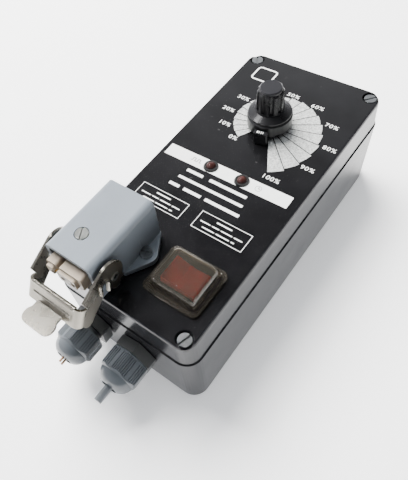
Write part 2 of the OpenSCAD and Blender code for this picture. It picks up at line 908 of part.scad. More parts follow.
module switch_boot() {
    foot_t = 1.8;
    cap_w = boot_w - 3.4;
    cap_l = boot_l - 3.4;
    color("#b3a98c", 0.5)
    translate([switch_x, switch_y, panel_z])
        difference() {
            union() {
                linear_extrude(foot_t)
                    rounded(boot_w, boot_l, 4);
                hull() {
                    translate([0, 0, foot_t - 0.2])
                        linear_extrude(eps)
                            rounded(cap_w, cap_l, 3.6, $fn = 32);
                    translate([0, 0, boot_h*0.6])
                        linear_extrude(eps)
                            rounded(cap_w - 0.8, cap_l - 0.8, 3.6, $fn = 32);
                    translate([0, 0, boot_h - 0.5])
                        linear_extrude(eps)
                            rounded(cap_w - 3.2, cap_l - 2.4, 3, $fn = 32);
                    translate([0, 0, boot_h - eps])
                        linear_extrude(eps)
                            rounded(cap_w - 4.6, cap_l - 3.8, 2.6, $fn = 32);
                }
            }
            translate([0, 0, -1])
                linear_extrude(bezel_t + 1 + slip_gap)
                    rounded(boot_w - 4.2, boot_l - 4.2, 1.6);
            translate([0, 0, 1])
                linear_extrude(boot_h*0.6 - 1)
                    rounded(cap_w - 2*boot_wall - 0.8, cap_l - 2*boot_wall - 0.8, 2.8);
            translate([0, 0, 1])
                linear_extrude(boot_h - boot_wall - 1)
                    rounded(cap_w - 2*boot_wall - 3.2, cap_l - 2*boot_wall - 2.4, 2.2);
        }
}

module switch_terminals() {
    color("#c8c2a6")
    for (i = [-1, 1], j = [-1, 1])
        translate([switch_x + i*5, switch_y + j*4.5, body_bottom - 8 + 4])
            cube([0.8, 4.8, 8], center = true);
}

// Dial -----------------------------------------------------------------------------------------------

bush_r = shaft_r + 1.7;
pot_h = 12;
bush_len = 9;
nut14_t = 2.2;
brake_z = panel_z + 1.3;
brake_t = 1.2;
nut14_af = 2*bush_r + 2.6;
foot_wall = 1.3;
foot_r = max(collar_r - 2.7, nut14_af/2/cos(30) + free_gap + foot_wall);
rim_z = panel_z + 3;
brake_in = foot_r - 0.4;
brake_out = foot_r + 0.9;
skirt_z = panel_z + collar_h + free_gap;
skirt_r = collar_r - 0.5;
grip_z = skirt_z + 2.4;
cap_r = grip_r - 1;
cap_stand = 1.5;
collet_r = shaft_r + 1.4;
hub_r = collet_r + 1.2;
hub_z = panel_z + bush_len - lid_wall + 0.5;

module potentiometer_body() {
    color("#8c8a80")
    difference() {
        union() {
            translate([0, dial_y, lid_under_z - pot_h])
                cylinder(r = pot_r, h = pot_h);
            translate([0, dial_y, lid_under_z - eps])
                cylinder(r = bush_r, h = bush_len);
            for (i = [-1, 0, 1])
                translate([i*5 - 1, dial_y - pot_r - 5, lid_under_z - pot_h + 3])
                    cube([2, 7, 0.8]);
        }
        translate([0, dial_y, lid_under_z - pot_h + 2])
            cylinder(r = shaft_r + turn_gap, h = pot_h + bush_len);
    }
}

module potentiometer_shaft() {
    z0 = lid_under_z - pot_h + 2.4;
    top = panel_z + grip_top - 5;
    color("#b9b6aa")
    difference() {
        translate([0, dial_y, z0])
            cylinder(r = shaft_r, h = top - z0);
        translate([-2*shaft_r, dial_y + shaft_r - 0.7, grip_z])
            cube([4*shaft_r, 2*shaft_r, grip_top]);
    }
}

module potentiometer_nut() {
    color("#a8a59a")
    translate([0, dial_y, panel_z])
        difference() {
            cylinder(r = hex_r(nut14_af), h = nut14_t, $fn = 6);
            translate([0, 0, -1])
                cylinder(r = bush_r + screw_gap, h = nut14_t + 2);
        }
}

// Fixed collar round the dial: a broad rim on a narrower foot that clears the nut
module dial_collar() {
    foot = rim_z - panel_z;
    color("#1d1d20")
    translate([0, dial_y, panel_z])
        difference() {
            union() {
                cylinder(r = foot_r, h = foot + 1);
                translate([0, 0, foot])
                    cylinder(r = collar_r, h = collar_h - foot - 0.6);
                translate([0, 0, collar_h - 0.6 - eps])
                    cylinder(r1 = collar_r, r2 = collar_r - 0.6, h = 0.6);
            }
            translate([0, 0, -1])
                cylinder(r = hex_r(nut14_af) + free_gap, h = nut14_t + 2);
            cylinder(r = hub_r + free_gap, h = collar_h + 1);
            // Groove in the foot that the brake ring runs in
            translate([0, 0, brake_z - panel_z - free_gap])
                difference() {
                    cylinder(r = foot_r + 1, h = brake_t + 2*free_gap);
                    translate([0, 0, -1])
                        cylinder(r = brake_in - free_gap, h = brake_t + 4);
                }
            // Gripping notches round the rim
            for (a = [-38, 142, 200])
                rotate([0, 0, a])
                    translate([collar_r - 1.2, -1.4, foot - 1])
                        cube([3, 2.8, 2]);
        }
}

// Brake ring with its finger lever, which pinches the dial
module dial_brake() {
    lever_w = 7;
    lever_d = 2.6;
    brake_turn = -79;
    color("#17171a")
    translate([0, dial_y, brake_z])
        difference() {
            union() {
                cylinder(r = brake_out, h = brake_t);
                rotate([0, 0, brake_turn]) {
                    translate([brake_out - 0.6, -lever_w/2 + 0.5, 0])
                        cube([collar_r + 2 - brake_out, lever_w - 1, brake_t]);
                    translate([collar_r + free_gap + lever_d/2, 0, 0.5 + panel_z - brake_z])
                        linear_extrude(6.8)
                            rounded(lever_d, lever_w, 0.7);
                }
            }
            translate([0, 0, -1])
                cylinder(r = brake_in, h = brake_t + 2);
        }
}

module dial_knob() {
    grip_h = panel_z + grip_top - cap_stand - grip_z;
    flute_r = 1.25;
    color("#19191c")
    translate([0, dial_y, 0])
        difference() {
            union() {
                translate([0, 0, hub_z])
                    cylinder(r = hub_r, h = skirt_z - hub_z + 1);
                translate([0, 0, skirt_z])
                    cylinder(r = skirt_r, h = 0.7);
                translate([0, 0, skirt_z + 0.7 - eps])
                    cylinder(r1 = skirt_r, r2 = grip_r + 0.8, h = grip_z - skirt_z - 0.7 + eps);
                translate([0, 0, grip_z - eps])
                    cylinder(r1 = grip_r + 0.3, r2 = grip_r, h = grip_h - 0.8);
                translate([0, 0, grip_z + grip_h - 0.8 - 2*eps])
                    cylinder(r1 = grip_r, r2 = grip_r - 0.8, h = 0.8);
            }
            for (i = [0:flutes - 1])
                rotate([0, 0, (i + 0.5)*360/flutes])
                    translate([grip_r + 0.35, 0, grip_z + 0.7])
                        cylinder(r = flute_r, h = grip_h + 1);
            translate([0, 0, hub_z - 1])
                cylinder(r = collet_r + screw_gap, h = grip_top);
            translate([0, 0, panel_z + grip_top - cap_stand - 1])
                cylinder(r = cap_r - 0.4 + slip_gap, h = 3);
        }
}

module knob_cap() {
    color("#2a2a2e")
    translate([0, dial_y, panel_z + grip_top - cap_stand]) {
        translate([0, 0, -1])
            cylinder(r = cap_r - 0.4, h = 1 + eps);
        cylinder(r = cap_r, h = cap_stand - 0.5);
        translate([0, 0, cap_stand - 0.5 - eps])
            cylinder(r1 = cap_r, r2 = cap_r - 0.5, h = 0.5);
    }
}

module knob_collet() {
    z0 = hub_z + 0.4;
    color("#c2a25c")
    translate([0, dial_y, z0])
        difference() {
            cylinder(r = collet_r, h = panel_z + grip_top - 4 - z0);
            translate([0, 0, -1])
                cylinder(r = shaft_r + screw_gap, h = grip_top);
        }
}

// Lamps ----------------------------------------------------------------------------------------------

module led_holders() {
    color("#17171a")
    for (s = [-1, 1])
        translate([led_x + s*led_pitch/2, led_y, 0])
            difference() {
                union() {
                    translate([0, 0, lid_under_z - 2])
                        cylinder(r = led_r + 0.7, h = panel_z - lid_under_z + 2);
                    translate([0, 0, panel_z])
                        cylinder(r1 = led_r + 1.4, r2 = led_r + 1, h = 0.9);
                }
                translate([0, 0, lid_under_z - 3])
                    cylinder(r = led_r + slip_gap/2, h = lid_wall + 5);
            }
}

module led_lenses() {
    color("#7a4034")
    for (s = [-1, 1])
        translate([led_x + s*led_pitch/2, led_y, 0]) {
            translate([0, 0, lid_under_z - 1])
                cylinder(r = led_r, h = lid_wall + 1);
            translate([0, 0, panel_z])
                intersection() {
                    sphere(led_r);
                    cylinder(r = led_r + 1, h = led_r);
                }
        }
}

// Circuit --------------------------------------------------------------------------------------------

board_y = -2;
board_z = floor_t + pillar_h;
board_top = board_z + board_t;
hole_x = board_w/2 - 4;
hole_y = board_l/2 - 4;
block_pitch = 7;
block_x = 0;
block_y = board_y - board_l/2 + 12;
block_d = 10;
block_h = 11;
block_z = board_top;
block_top = block_z + block_h;
block_ways = 6;
well_d = 3;

module circuit_board() {
    color("#3f6b3a")
    translate([0, board_y, board_z])
        linear_extrude(board_t)
            difference() {
                square([board_w, board_l], center = true);
                at_corners(hole_x, hole_y)
                    circle(1.7);
            }
}

module board_pillars() {
    color("#b9b08a")
    translate([0, board_y, floor_t])
        at_corners(hole_x, hole_y)
            difference() {
                cylinder(r = 3, h = pillar_h);
                translate([0, 0, 1])
                    cylinder(r = 1.55, h = pillar_h);
            }
}

module board_screws() {
    color("#b9b9ae")
    translate([0, board_y, board_top])
        at_corners(hole_x, hole_y)
            slotted_screw(2.7, 1.8, 1.5, board_t + pillar_h - 2, 35);
}

module terminal_block() {
    w = block_ways*block_pitch;
    color("#4c7a4a")
    difference() {
        translate([block_x - w/2, block_y - block_d/2, block_z])
            cube([w, block_d, block_h]);
        for (i = [0:block_ways - 1])
            translate([block_x - w/2 + (i + 0.5)*block_pitch, block_y, block_top - well_d])
                cylinder(r = 2, h = well_d + 1, $fn = 24);
    }
}

module triac() {
    x = board_w/2 - 12;
    color("#222224")
    translate([x, board_y - 4, board_top]) {
        translate([0, -5, 4])
            cube([4.4, 10, 9]);
        for (i = [-1, 0, 1])
            translate([2, i*2.5 - 0.4, 0])
                cube([0.6, 0.8, 4.1]);
    }
}

module heat_sink() {
    x = board_w/2 - 7.5;
    fins = 5;
    color("#9b9b9d")
    translate([x, board_y - 16, board_top]) {
        cube([1.8, 24, 20]);
        for (i = [0:fins - 1])
            translate([1.8 - eps, i*(24 - 1.2)/(fins - 1), 0])
                cube([4.5, 1.2, 20]);
    }
}

module suppression_choke() {
    color("#a8742c")
    translate([-board_w/2 + 13, board_y - 2, board_top + 0.1])
        rotate_extrude()
            translate([4.2, 0])
                square([5.6, 8]);
}

module suppression_capacitor() {
    color("#c7b13a")
    translate([-board_w/2 + 17, board_y - 21.5, board_top]) {
        linear_extrude(14)
            rounded(26, 9, 1.2);
        linear_extrude(0.8)
            square([26, 9], center = true);
    }
}

module fuse_clips() {
    color("#c8c2a6")
    for (s = [-1, 1])
        translate([4, board_y + 2 + s*8, board_top])
            difference() {
                translate([-3.4, -2, 0])
                    cube([6.8, 4, 6.4]);
                translate([0, 0, 4.2])
                    rotate([90, 0, 0])
                        cylinder(r = 2.6, h = 6, center = true);
                translate([-1.8, -3, 4.2])
                    cube([3.6, 6, 4]);
            }
}

module fuse() {
    color("#d9dde0")
    translate([4, board_y + 2, board_top + 4.2])
        rotate([90, 0, 0]) {
            cylinder(r = 2.3, h = 18, center = true);
            for (s = [-1, 1])
                translate([0, 0, s*8])
                    cylinder(r = 2.55, h = 4, center = true);
        }
}

module transformer() {
    color("#6d6f74")
    translate([-board_w/2 + 6, board_y + board_l/2 - 42, board_top]) {
        cube([36, 30, 4]);
        translate([3, 3, 4 - eps])
            cube([30, 24, 18]);
    }
}

base_shell();
lid();
lid_gasket();
front_plate();
lid_screws();
connector_housing();
connector_seal();
connector_screws();
connector_insert();
insert_screw();
connector_contacts();
connector_leads();
lever_studs();
locking_lever();
supply_gland_body();
supply_gland_cap();
supply_gland_seal();
supply_gland_nut();
supply_cable();
supply_cores();
load_gland_body();
load_gland_cap();
load_gland_seal();
load_gland_nut();
load_cable();
load_cores();
switch_housing();
switch_rocker();
switch_boot();
switch_terminals();
potentiometer_body();
potentiometer_shaft();
potentiometer_nut();
dial_collar();
dial_brake();
dial_knob();
knob_cap();
knob_collet();
led_holders();
led_lenses();
circuit_board();
board_pillars();
board_screws();
terminal_block();
triac();
heat_sink();
suppression_choke();
suppression_capacitor();
fuse_clips();
fuse();
transformer();
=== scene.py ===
import math

import bmesh
import bpy
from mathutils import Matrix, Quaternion, Vector


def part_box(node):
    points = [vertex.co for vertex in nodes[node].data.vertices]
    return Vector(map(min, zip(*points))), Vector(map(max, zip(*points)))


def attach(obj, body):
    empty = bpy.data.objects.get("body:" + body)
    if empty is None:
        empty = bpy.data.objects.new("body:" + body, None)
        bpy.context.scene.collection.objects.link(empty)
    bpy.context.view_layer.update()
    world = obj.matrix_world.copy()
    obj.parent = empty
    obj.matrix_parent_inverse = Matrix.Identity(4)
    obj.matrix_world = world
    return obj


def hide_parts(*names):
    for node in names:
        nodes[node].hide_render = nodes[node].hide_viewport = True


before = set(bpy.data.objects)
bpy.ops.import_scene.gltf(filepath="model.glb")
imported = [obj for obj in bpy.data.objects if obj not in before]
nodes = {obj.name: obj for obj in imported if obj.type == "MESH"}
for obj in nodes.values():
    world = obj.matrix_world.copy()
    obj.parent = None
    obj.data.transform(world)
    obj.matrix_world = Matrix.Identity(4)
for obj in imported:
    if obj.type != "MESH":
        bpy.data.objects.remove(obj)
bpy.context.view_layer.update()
MM = 0.001


def low(node):
    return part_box(node)[0] / MM


def high(node):
    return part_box(node)[1] / MM


def middle(node):
    return (low(node) + high(node)) / 2


# Places in mm, read from the frame
PANEL_Z = high("front_plate").z
DIAL = middle("dial_collar")
COLLAR_R = (high("dial_collar").x - low("dial_collar").x) / 2
PLATE = middle("front_plate")
LAMPS = middle("led_lenses")
BOOT = middle("switch_boot")
BOOT_SIZE = high("switch_boot") - low("switch_boot")

# Print: how far ink stands off what it is on, and how far one ink lies over another, in mm
INK_LIFT = 0.03
INK_OVER_INK = 0.02
INK_Z = PANEL_Z + INK_LIFT

# The brake's finger lever, in degrees about the dial, and its top face's reach past the collar, in mm
BRAKE_TURN = -79
BRAKE_REACH = 1.7

# Camera: fitted to the case's edges and outline in the photo. Places in mm, roll in degrees
CAMERA_PLACE = Vector((100.9, -140.0, 253.9))
CAMERA_AIM = Vector((-7.2, -46.1, PANEL_Z))
CAMERA_ROLL = -13.4
CAMERA_LENS = 39.65
CAMERA_SHIFT = (0.095, -0.015)

# Room: places in metres
LIGHT_AIM = (0, 0, 0.03)
FLOOR_HALF = 3.0
FLOOR_DROP = 0.0002


# Camera, lights and floor ---------------------------------------------------------------------------

def add_camera():
    place = CAMERA_PLACE * MM
    aim = CAMERA_AIM * MM
    data = bpy.data.cameras.new("camera")
    data.lens = CAMERA_LENS
    data.shift_x, data.shift_y = CAMERA_SHIFT
    data.clip_start = 0.01
    camera = bpy.data.objects.new("camera", data)
    camera.location = place
    camera.rotation_mode = "QUATERNION"
    facing = (aim - place).to_track_quat("-Z", "Y")
    camera.rotation_quaternion = facing @ Quaternion((0, 0, 1), math.radians(CAMERA_ROLL))
    bpy.context.scene.collection.objects.link(camera)
    bpy.context.scene.camera = camera


def add_area_light(name, place, size, power, colour=(1, 1, 1), glossy=True):
    """A round lamp aimed at the object. One that isn't glossy shows in no reflection or refraction."""
    data = bpy.data.lights.new(name, "AREA")
    data.shape = "DISK"
    data.size = size
    data.energy = power
    data.color = colour
    light = bpy.data.objects.new(name, data)
    light.location = place
    light.rotation_euler = (Vector(LIGHT_AIM) - Vector(place)).to_track_quat("-Z", "Y").to_euler()
    light.visible_glossy = glossy
    light.visible_transmission = glossy
    bpy.context.scene.collection.objects.link(light)


def add_key_light():
    add_area_light("key", (-0.7, 0.35, 1.15), 1.0, 100, (1.0, 0.985, 0.96), glossy=False)


def add_sparkle_light():
    add_area_light("sparkle", (-0.5, -0.12, 0.9), 0.14, 3.2)


def add_top_light():
    add_area_light("top", (0.1, 0.1, 1.3), 1.0, 8, (0.94, 0.97, 1.0), glossy=False)


def add_world():
    """Pale near the horizon, darker overhead and on the right, as in a room lit from one side."""
    world = bpy.data.worlds.new("studio")
    bpy.context.scene.world = world
    world.use_nodes = True
    tree = world.node_tree
    coords = tree.nodes.new("ShaderNodeTexCoord")
    split = tree.nodes.new("ShaderNodeSeparateXYZ")
    tree.links.new(coords.outputs["Generated"], split.inputs[0])
    ramp = tree.nodes.new("ShaderNodeValToRGB")
    pale, dark = ramp.color_ramp.elements
    pale.position = 0.62
    pale.color = (0.95, 0.96, 1.0, 1)
    dark.position = 0.84
    dark.color = (0.02, 0.02, 0.032, 1)
    tree.links.new(split.outputs["Z"], ramp.inputs["Fac"])
    shade = tree.nodes.new("ShaderNodeVectorMath")
    shade.operation = "SCALE"
    tree.links.new(ramp.outputs["Color"], shade.inputs[0])
    tree.links.new(span(tree, split.outputs["X"], -0.3, 0.4, 1.0, 0.12), shade.inputs["Scale"])
    background = tree.nodes["Background"]
    background.inputs["Strength"].default_value = 1.0
    tree.links.new(shade.outputs[0], background.inputs["Color"])


def add_floor():
    half = FLOOR_HALF
    mesh = bpy.data.meshes.new("floor")
    corners = [(-half, -half, 0), (half, -half, 0), (half, half, 0), (-half, half, 0)]
    mesh.from_pydata(corners, [], [(0, 1, 2, 3)])
    floor = bpy.data.objects.new("floor", mesh)
    floor.location.z = -FLOOR_DROP
    bpy.context.scene.collection.objects.link(floor)
    mesh.materials.append(floor_paper())


# Materials ------------------------------------------------------------------------------------------

DUST_COLOUR = (0.55, 0.55, 0.53)
DUST_SIZE = 0.45
# Most of the lighter edge colour mixed in: a painted highlight on rounded edges
EDGE_HIGHLIGHT_MOST = 0.8
SMOOTH_LIMIT = 0.02
ZINC = {"metal": 1.0, "vary": 0.14, "vary_scale": 300, "grain": 0.012, "grain_scale": 1400, "edge": 0.25}


def span(tree, value, low_in, high_in, low_out, high_out):
    """Value mapped from one range to another, and held inside it."""
    node = tree.nodes.new("ShaderNodeMapRange")
    for index, number in enumerate((low_in, high_in, low_out, high_out), 1):
        node.inputs[index].default_value = number
    tree.links.new(value, node.inputs[0])
    return node.outputs[0]


def noise(tree, mapping, scale, detail):
    node = tree.nodes.new("ShaderNodeTexNoise")
    node.inputs["Scale"].default_value = scale
    node.inputs["Detail"].default_value = detail
    tree.links.new(mapping.outputs["Vector"], node.inputs["Vector"])
    return node.outputs["Fac"]


def mixed(tree, first, second, factor):
    """Two colours mixed by a factor. Each is a socket or three numbers."""
    node = tree.nodes.new("ShaderNodeMix")
    node.data_type = "RGBA"
    for index, value in ((6, first), (7, second)):
        if hasattr(value, "is_linked"):
            tree.links.new(value, node.inputs[index])
        else:
            node.inputs[index].default_value = (*value, 1)
    tree.links.new(factor, node.inputs[0])
    return node.outputs[2]


def rounded_normal(tree, edge):
    bevel = tree.nodes.new("ShaderNodeBevel")
    bevel.samples = 4
    bevel.inputs["Radius"].default_value = edge * MM
    return bevel.outputs["Normal"]


def edge_highlight_mask(tree, normal):
    """Mask for the painted edge highlight: 0 on a flat face, up to the highlight's most where the rounded
    normal leaves the face's own.
    """
    geometry = tree.nodes.new("ShaderNodeNewGeometry")
    dot = tree.nodes.new("ShaderNodeVectorMath")
    dot.operation = "DOT_PRODUCT"
    tree.links.new(normal, dot.inputs[0])
    tree.links.new(geometry.outputs["Normal"], dot.inputs[1])
    return span(tree, dot.outputs["Value"], 0.995, 0.86, 0.0, EDGE_HIGHLIGHT_MOST)


def grained_normal(tree, height, grain, normal):
    bump = tree.nodes.new("ShaderNodeBump")
    bump.inputs["Strength"].default_value = 1.0
    bump.inputs["Distance"].default_value = grain * MM
    tree.links.new(height, bump.inputs["Height"])
    if normal:
        tree.links.new(normal, bump.inputs["Normal"])
    return bump.outputs["Normal"]


def surface(name, colour, rough, metal=0.0, vary=0.12, vary_scale=60.0, grain=0.0, grain_scale=1500.0,
            edge=0.0, edge_highlight_colour=None, rough_vary=0.08, speck=0.0, **sockets):
    """Principled surface whose colour and roughness drift over the part, with fine bumps, rounded edges and,
    where an edge colour is given, a painted highlight on those edges.
    grain is the bumps' height in mm, edge the radius of the rounded edges in mm, speck the strength of dust."""
    made = bpy.data.materials.new(name)
    made.use_nodes = True
    tree = made.node_tree
    shader = tree.nodes["Principled BSDF"]
    shader.inputs["Metallic"].default_value = metal
    for socket, value in sockets.items():
        shader.inputs[socket.replace("_", " ")].default_value = value
    coords = tree.nodes.new("ShaderNodeTexCoord")
    mapping = tree.nodes.new("ShaderNodeMapping")
    tree.links.new(coords.outputs["Object"], mapping.inputs["Vector"])

    drift = noise(tree, mapping, vary_scale, 6.0)
    dark = tuple(c * (1 - vary) for c in colour)
    light = tuple(min(c * (1 + vary), 1) for c in colour)
    tint = mixed(tree, dark, light, span(tree, drift, 0.35, 0.65, 0.0, 1.0))
    if speck:
        dust = noise(tree, mapping, grain_scale * DUST_SIZE, 2.0)
        tint = mixed(tree, tint, DUST_COLOUR, span(tree, dust, 0.72, 0.80, 0.0, speck))
    normal = rounded_normal(tree, edge) if edge else None
    # Painted highlight: a lighter colour mixed in where the edges round off
    if edge_highlight_colour:
        tint = mixed(tree, tint, edge_highlight_colour, edge_highlight_mask(tree, normal))
    tree.links.new(tint, shader.inputs["Base Color"])
    smoothest = max(rough - rough_vary, SMOOTH_LIMIT)
    tree.links.new(span(tree, drift, 0.3, 0.7, smoothest, rough + rough_vary), shader.inputs["Roughness"])
    if grain:
        normal = grained_normal(tree, noise(tree, mapping, grain_scale, 4.0), grain, normal)
    if normal:
        tree.links.new(normal, shader.inputs["Normal"])
    return made


def floor_paper():
    return surface("floor_paper", (0.93, 0.935, 0.945), 0.65, vary=0.012, vary_scale=6,
                   Emission_Color=(0.96, 0.975, 1.0, 1), Emission_Strength=0.5)


def case_enamel():
    return surface("case_enamel", (0.012, 0.012, 0.014), 0.24, vary=0.2, grain=0.010, grain_scale=900,
                   edge=0.5, speck=0.12, rough_vary=0.03, Specular_IOR_Level=0.34)


def lid_enamel():
    return surface("lid_enamel", (0.011, 0.011, 0.013), 0.20, vary=0.2, grain=0.006, grain_scale=900,
                   edge=0.6, speck=0.10, rough_vary=0.02, Specular_IOR_Level=0.38)


def foil_black():
    return surface("foil_black", (0.0045, 0.0045, 0.005), 0.16, vary=0.25, grain=0.002, grain_scale=700,
                   speck=0.05, rough_vary=0.015)


def rubber_black():
    return surface("rubber_black", (0.02, 0.02, 0.02), 0.7, grain=0.01)


def screw_zinc():
    return surface("screw_zinc", (0.55, 0.57, 0.57), 0.40, **ZINC)


def insert_screw_zinc_painted_light():
    # A lighter copy of the screw zinc: the extra brightness is a painted highlight for the light this screw
    # catches.
    return surface("insert_screw_zinc_painted_light", (0.66, 0.67, 0.63), 0.36, **ZINC)


def flange_screw_zinc():
    return surface("flange_screw_zinc", (0.52, 0.54, 0.54), 0.36, **ZINC)


def stud_steel():
    return surface("stud_steel", (0.50, 0.50, 0.47), 0.30, **ZINC)


def lever_steel():
    # The lighter edge colour is a painted highlight along the lever's rounded edges.
    return surface("lever_steel", (0.28, 0.262, 0.225), 0.28, metal=1.0, vary=0.12, vary_scale=120,
                   grain=0.004, grain_scale=700, edge=0.3, speck=0.08, rough_vary=0.06,
                   edge_highlight_colour=(0.70, 0.67, 0.60))


def brass():
    return surface("brass", (0.72, 0.52, 0.22), 0.32, metal=1.0, grain=0.01)


def tin_plate():
    return surface("tin_plate", (0.62, 0.61, 0.57), 0.35, metal=1.0, grain=0.01)


def hood_enamel():
    # The lighter edge colour is a painted highlight on the hood's rounded edges.
    return surface("hood_enamel", (0.15, 0.172, 0.197), 0.36, vary=0.06, vary_scale=40, grain=0.03,
                   grain_scale=1100, edge=0.5, edge_highlight_colour=(0.30, 0.33, 0.36), speck=0.05,
                   Specular_IOR_Level=0.5)


def insert_tan():
    # The lighter edge colour is a painted highlight on the insert's rounded edges.
    return surface("insert_tan", (0.33, 0.275, 0.215), 0.5, vary=0.1, grain=0.01, edge=0.25,
                   edge_highlight_colour=(0.55, 0.49, 0.40))


def gland_cap_nylon():
    return surface("gland_cap_nylon", (0.095, 0.107, 0.12), 0.18, vary=0.06, grain=0.01,
                   grain_scale=700, edge=0.25)


def gland_body_nylon():
    return surface("gland_body_nylon", (0.065, 0.068, 0.068), 0.34, vary=0.08, grain=0.01,
                   grain_scale=700, edge=0.3)


def cable_sheath():
    return surface("cable_sheath", (0.15, 0.165, 0.18), 0.45, vary=0.08, grain=0.01)


def core_copper():
    return surface("core_copper", (0.45, 0.27, 0.17), 0.45, metal=0.4, vary=0.2)


def switch_black():
    return surface("switch_black", (0.012, 0.012, 0.012), 0.4, grain=0.01)


def rocker_red():
    return surface("rocker_red", (0.46, 0.016, 0.010), 0.42, vary=0.18, vary_scale=120, grain=0.005)


def dial_black():
    return surface("dial_black", (0.011, 0.011, 0.012), 0.28, vary=0.1, grain=0.001, grain_scale=900,
                   rough_vary=0.03)


def cap_black():
    return surface("cap_black", (0.012, 0.012, 0.014), 0.42, grain=0.006, edge=0.25)


def lamp_red():
    return surface("lamp_red", (0.045, 0.017, 0.015), 0.12, vary=0.25, vary_scale=500,
                   Transmission_Weight=0.2, IOR=1.5)


def solder_mask():
    return surface("solder_mask", (0.03, 0.15, 0.05), 0.35, vary=0.1)


def terminal_green():
    return surface("terminal_green", (0.05, 0.2, 0.08), 0.45)


def package_black():
    return surface("package_black", (0.02, 0.02, 0.02), 0.5)


def sink_aluminium():
    return surface("sink_aluminium", (0.55, 0.55, 0.56), 0.4, metal=1.0, grain=0.01)


def winding_copper():
    return surface("winding_copper", (0.55, 0.25, 0.10), 0.35, metal=0.7, grain=0.05)


def capacitor_yellow():
    return surface("capacitor_yellow", (0.62, 0.45, 0.06), 0.35)


def fuse_glass():
    return surface("fuse_glass", (0.8, 0.83, 0.83), 0.1, Transmission_Weight=0.8)


def core_steel():
    return surface("core_steel", (0.2, 0.2, 0.21), 0.5, metal=0.6, grain=0.03)


def ink_silver():
    return surface("ink_silver", (0.38, 0.39, 0.385), 0.5, vary=0.4, vary_scale=1500, grain=0.004)


def ink_white():
    return surface("ink_white", (0.78, 0.79, 0.78), 0.45, vary=0.04, vary_scale=300, grain=0.002)


def ink_grey():
    return surface("ink_grey", (0.13, 0.13, 0.15), 0.5, vary=0.1, vary_scale=300)


def boot_silicone():
    return surface("boot_silicone", (0.80, 0.72, 0.60), 0.07, vary=0.05, grain=0.004, grain_scale=400,
                   rough_vary=0.03, Transmission_Weight=0.98, IOR=1.30)


def dress(material, *names):
    for name in names:
        mesh = nodes[name].data
        mesh.materials.clear()
        mesh.materials.append(material)


def dress_case():
    dress(case_enamel(), "base_shell")
    dress(lid_enamel(), "lid")
    dress(foil_black(), "front_plate")
    dress(rubber_black(), "lid_gasket", "connector_seal", "supply_gland_seal", "load_gland_seal")


def dress_metals():
    dress(screw_zinc(), "lid_screws", "board_screws", "potentiometer_nut")
    dress(insert_screw_zinc_painted_light(), "insert_screw")
    dress(flange_screw_zinc(), "connector_screws")
    dress(stud_steel(), "lever_studs", "potentiometer_shaft")
    dress(lever_steel(), "locking_lever")
    dress(brass(), "connector_contacts", "knob_collet", "board_pillars")
    dress(tin_plate(), "switch_terminals", "fuse_clips", "potentiometer_body")


def dress_mouldings():
    dress(hood_enamel(), "connector_housing")
    dress(insert_tan(), "connector_insert")
    dress(gland_cap_nylon(), "supply_gland_cap", "load_gland_cap")
    dress(gland_body_nylon(), "supply_gland_body", "load_gland_body", "supply_gland_nut", "load_gland_nut")
    dress(cable_sheath(), "supply_cable", "load_cable")
    dress(core_copper(), "load_cores", "supply_cores", "connector_leads")
    dress(switch_black(), "switch_housing", "led_holders")
    dress(rocker_red(), "switch_rocker")
    dress(dial_black(), "dial_collar", "dial_brake", "dial_knob")
    dress(cap_black(), "knob_cap")
    dress(lamp_red(), "led_lenses")


def dress_circuit():
    dress(solder_mask(), "circuit_board")
    dress(terminal_green(), "terminal_block")
    dress(package_black(), "triac")
    dress(sink_aluminium(), "heat_sink")
    dress(winding_copper(), "suppression_choke")
    dress(capacitor_yellow(), "suppression_capacitor")
    dress(fuse_glass(), "fuse")
    dress(core_steel(), "transformer")


# Printed panel --------------------------------------------------------------------------------------

def arc_points(centre, radius, start, end, steps):
    """Points on an arc, in mm; angles in degrees."""
    angles = [math.radians(start + (end - start) * i / steps) for i in range(steps + 1)]
    return [(centre[0] + radius * math.cos(a), centre[1] + radius * math.sin(a)) for a in angles]


def rounded_outline(centre, width, length, radius, steps=6):
    outline = []
    for i, (sx, sy) in enumerate(((1, 1), (-1, 1), (-1, -1), (1, -1))):
        corner = (centre[0] + sx * (width / 2 - radius), centre[1] + sy * (length / 2 - radius))
        outline += arc_points(corner, radius, i * 90, i * 90 + 90, steps)
    return outline


def bar(x, y, width, height, turn=0.0):
    c, s = math.cos(math.radians(turn)), math.sin(math.radians(turn))
    corners = [(-width / 2, -height / 2), (width / 2, -height / 2), (width / 2, height / 2),
               (-width / 2, height / 2)]
    return [[(x + c * u - s * v, y + s * u + c * v) for u, v in corners]]


def outline_ring(outer, inner):
    """Quads between two closed outlines of the same number of points."""
    count = len(outer)
    return [[outer[i], outer[(i + 1) % count], inner[(i + 1) % count], inner[i]] for i in range(count)]


def frame_ring(x, y, width, length, radius, line):
    inner_r = max(radius - line, 0.05)
    return outline_ring(rounded_outline((x, y), width, length, radius),
                        rounded_outline((x, y), width - 2 * line, length - 2 * line, inner_r))


def stroke(points, line):
    """Quads along a polyline of the given line width."""
    quads = []
    for (ax, ay), (bx, by) in zip(points, points[1:]):
        run = math.hypot(bx - ax, by - ay)
        nx, ny = -(by - ay) / run * line / 2, (bx - ax) / run * line / 2
        quads.append([(ax + nx, ay + ny), (ax - nx, ay - ny), (bx - nx, by - ny), (bx + nx, by + ny)])
    return quads


